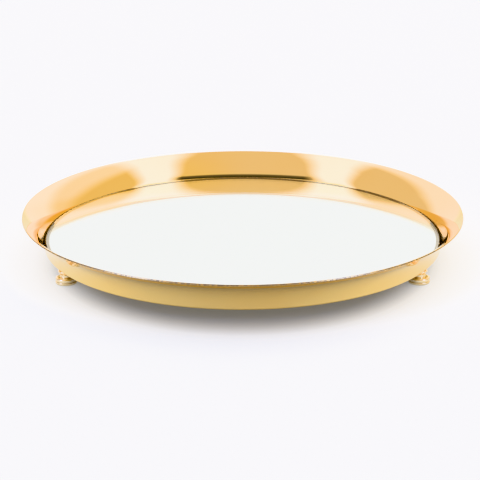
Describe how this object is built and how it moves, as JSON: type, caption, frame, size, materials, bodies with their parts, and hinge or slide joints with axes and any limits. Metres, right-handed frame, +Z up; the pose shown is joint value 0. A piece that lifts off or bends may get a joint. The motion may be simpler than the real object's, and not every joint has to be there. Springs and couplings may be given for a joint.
{
  "type": "dresser vanity tray",
  "caption": "Round vanity tray: a flared dish of polished gold-coloured metal with a mirror floor, standing on small turned feet, for perfume bottles and jewellery",
  "frame": {"origin": "on the surface the tray stands on, under the middle of the round dish", "axes": "+Z up; +Y towards the back foot, -Y towards the gap between the two front feet; +X to the right as seen from the front"},
  "size_m": [0.2998, 0.2998, 0.0307],
  "materials": {
    "gold_metal": "polished and lacquered",
    "foot_metal": "turned and polished",
    "mirror_glass": "clear float glass, ground edge",
    "silvering": "silvered, painted back",
    "foam_tape": "matte foam",
    "screw_steel": "zinc plated",
    "pad_rubber": "matte"
  },
  "bodies": {
    "root": {"tray_dish": "gold_metal", "mirror_glass": "mirror_glass", "mirror_silvering": "silvering", "tape_strip_front": "foam_tape", "tape_strip_back": "foam_tape", "tape_strip_left": "foam_tape", "tape_strip_right": "foam_tape", "foot_back": "foot_metal", "screw_back": "screw_steel", "pad_back": "pad_rubber", "foot_front_left": "foot_metal", "screw_front_left": "screw_steel", "pad_front_left": "pad_rubber", "foot_front_right": "foot_metal", "screw_front_right": "screw_steel", "pad_front_right": "pad_rubber"}
  },
  "joints": []
}
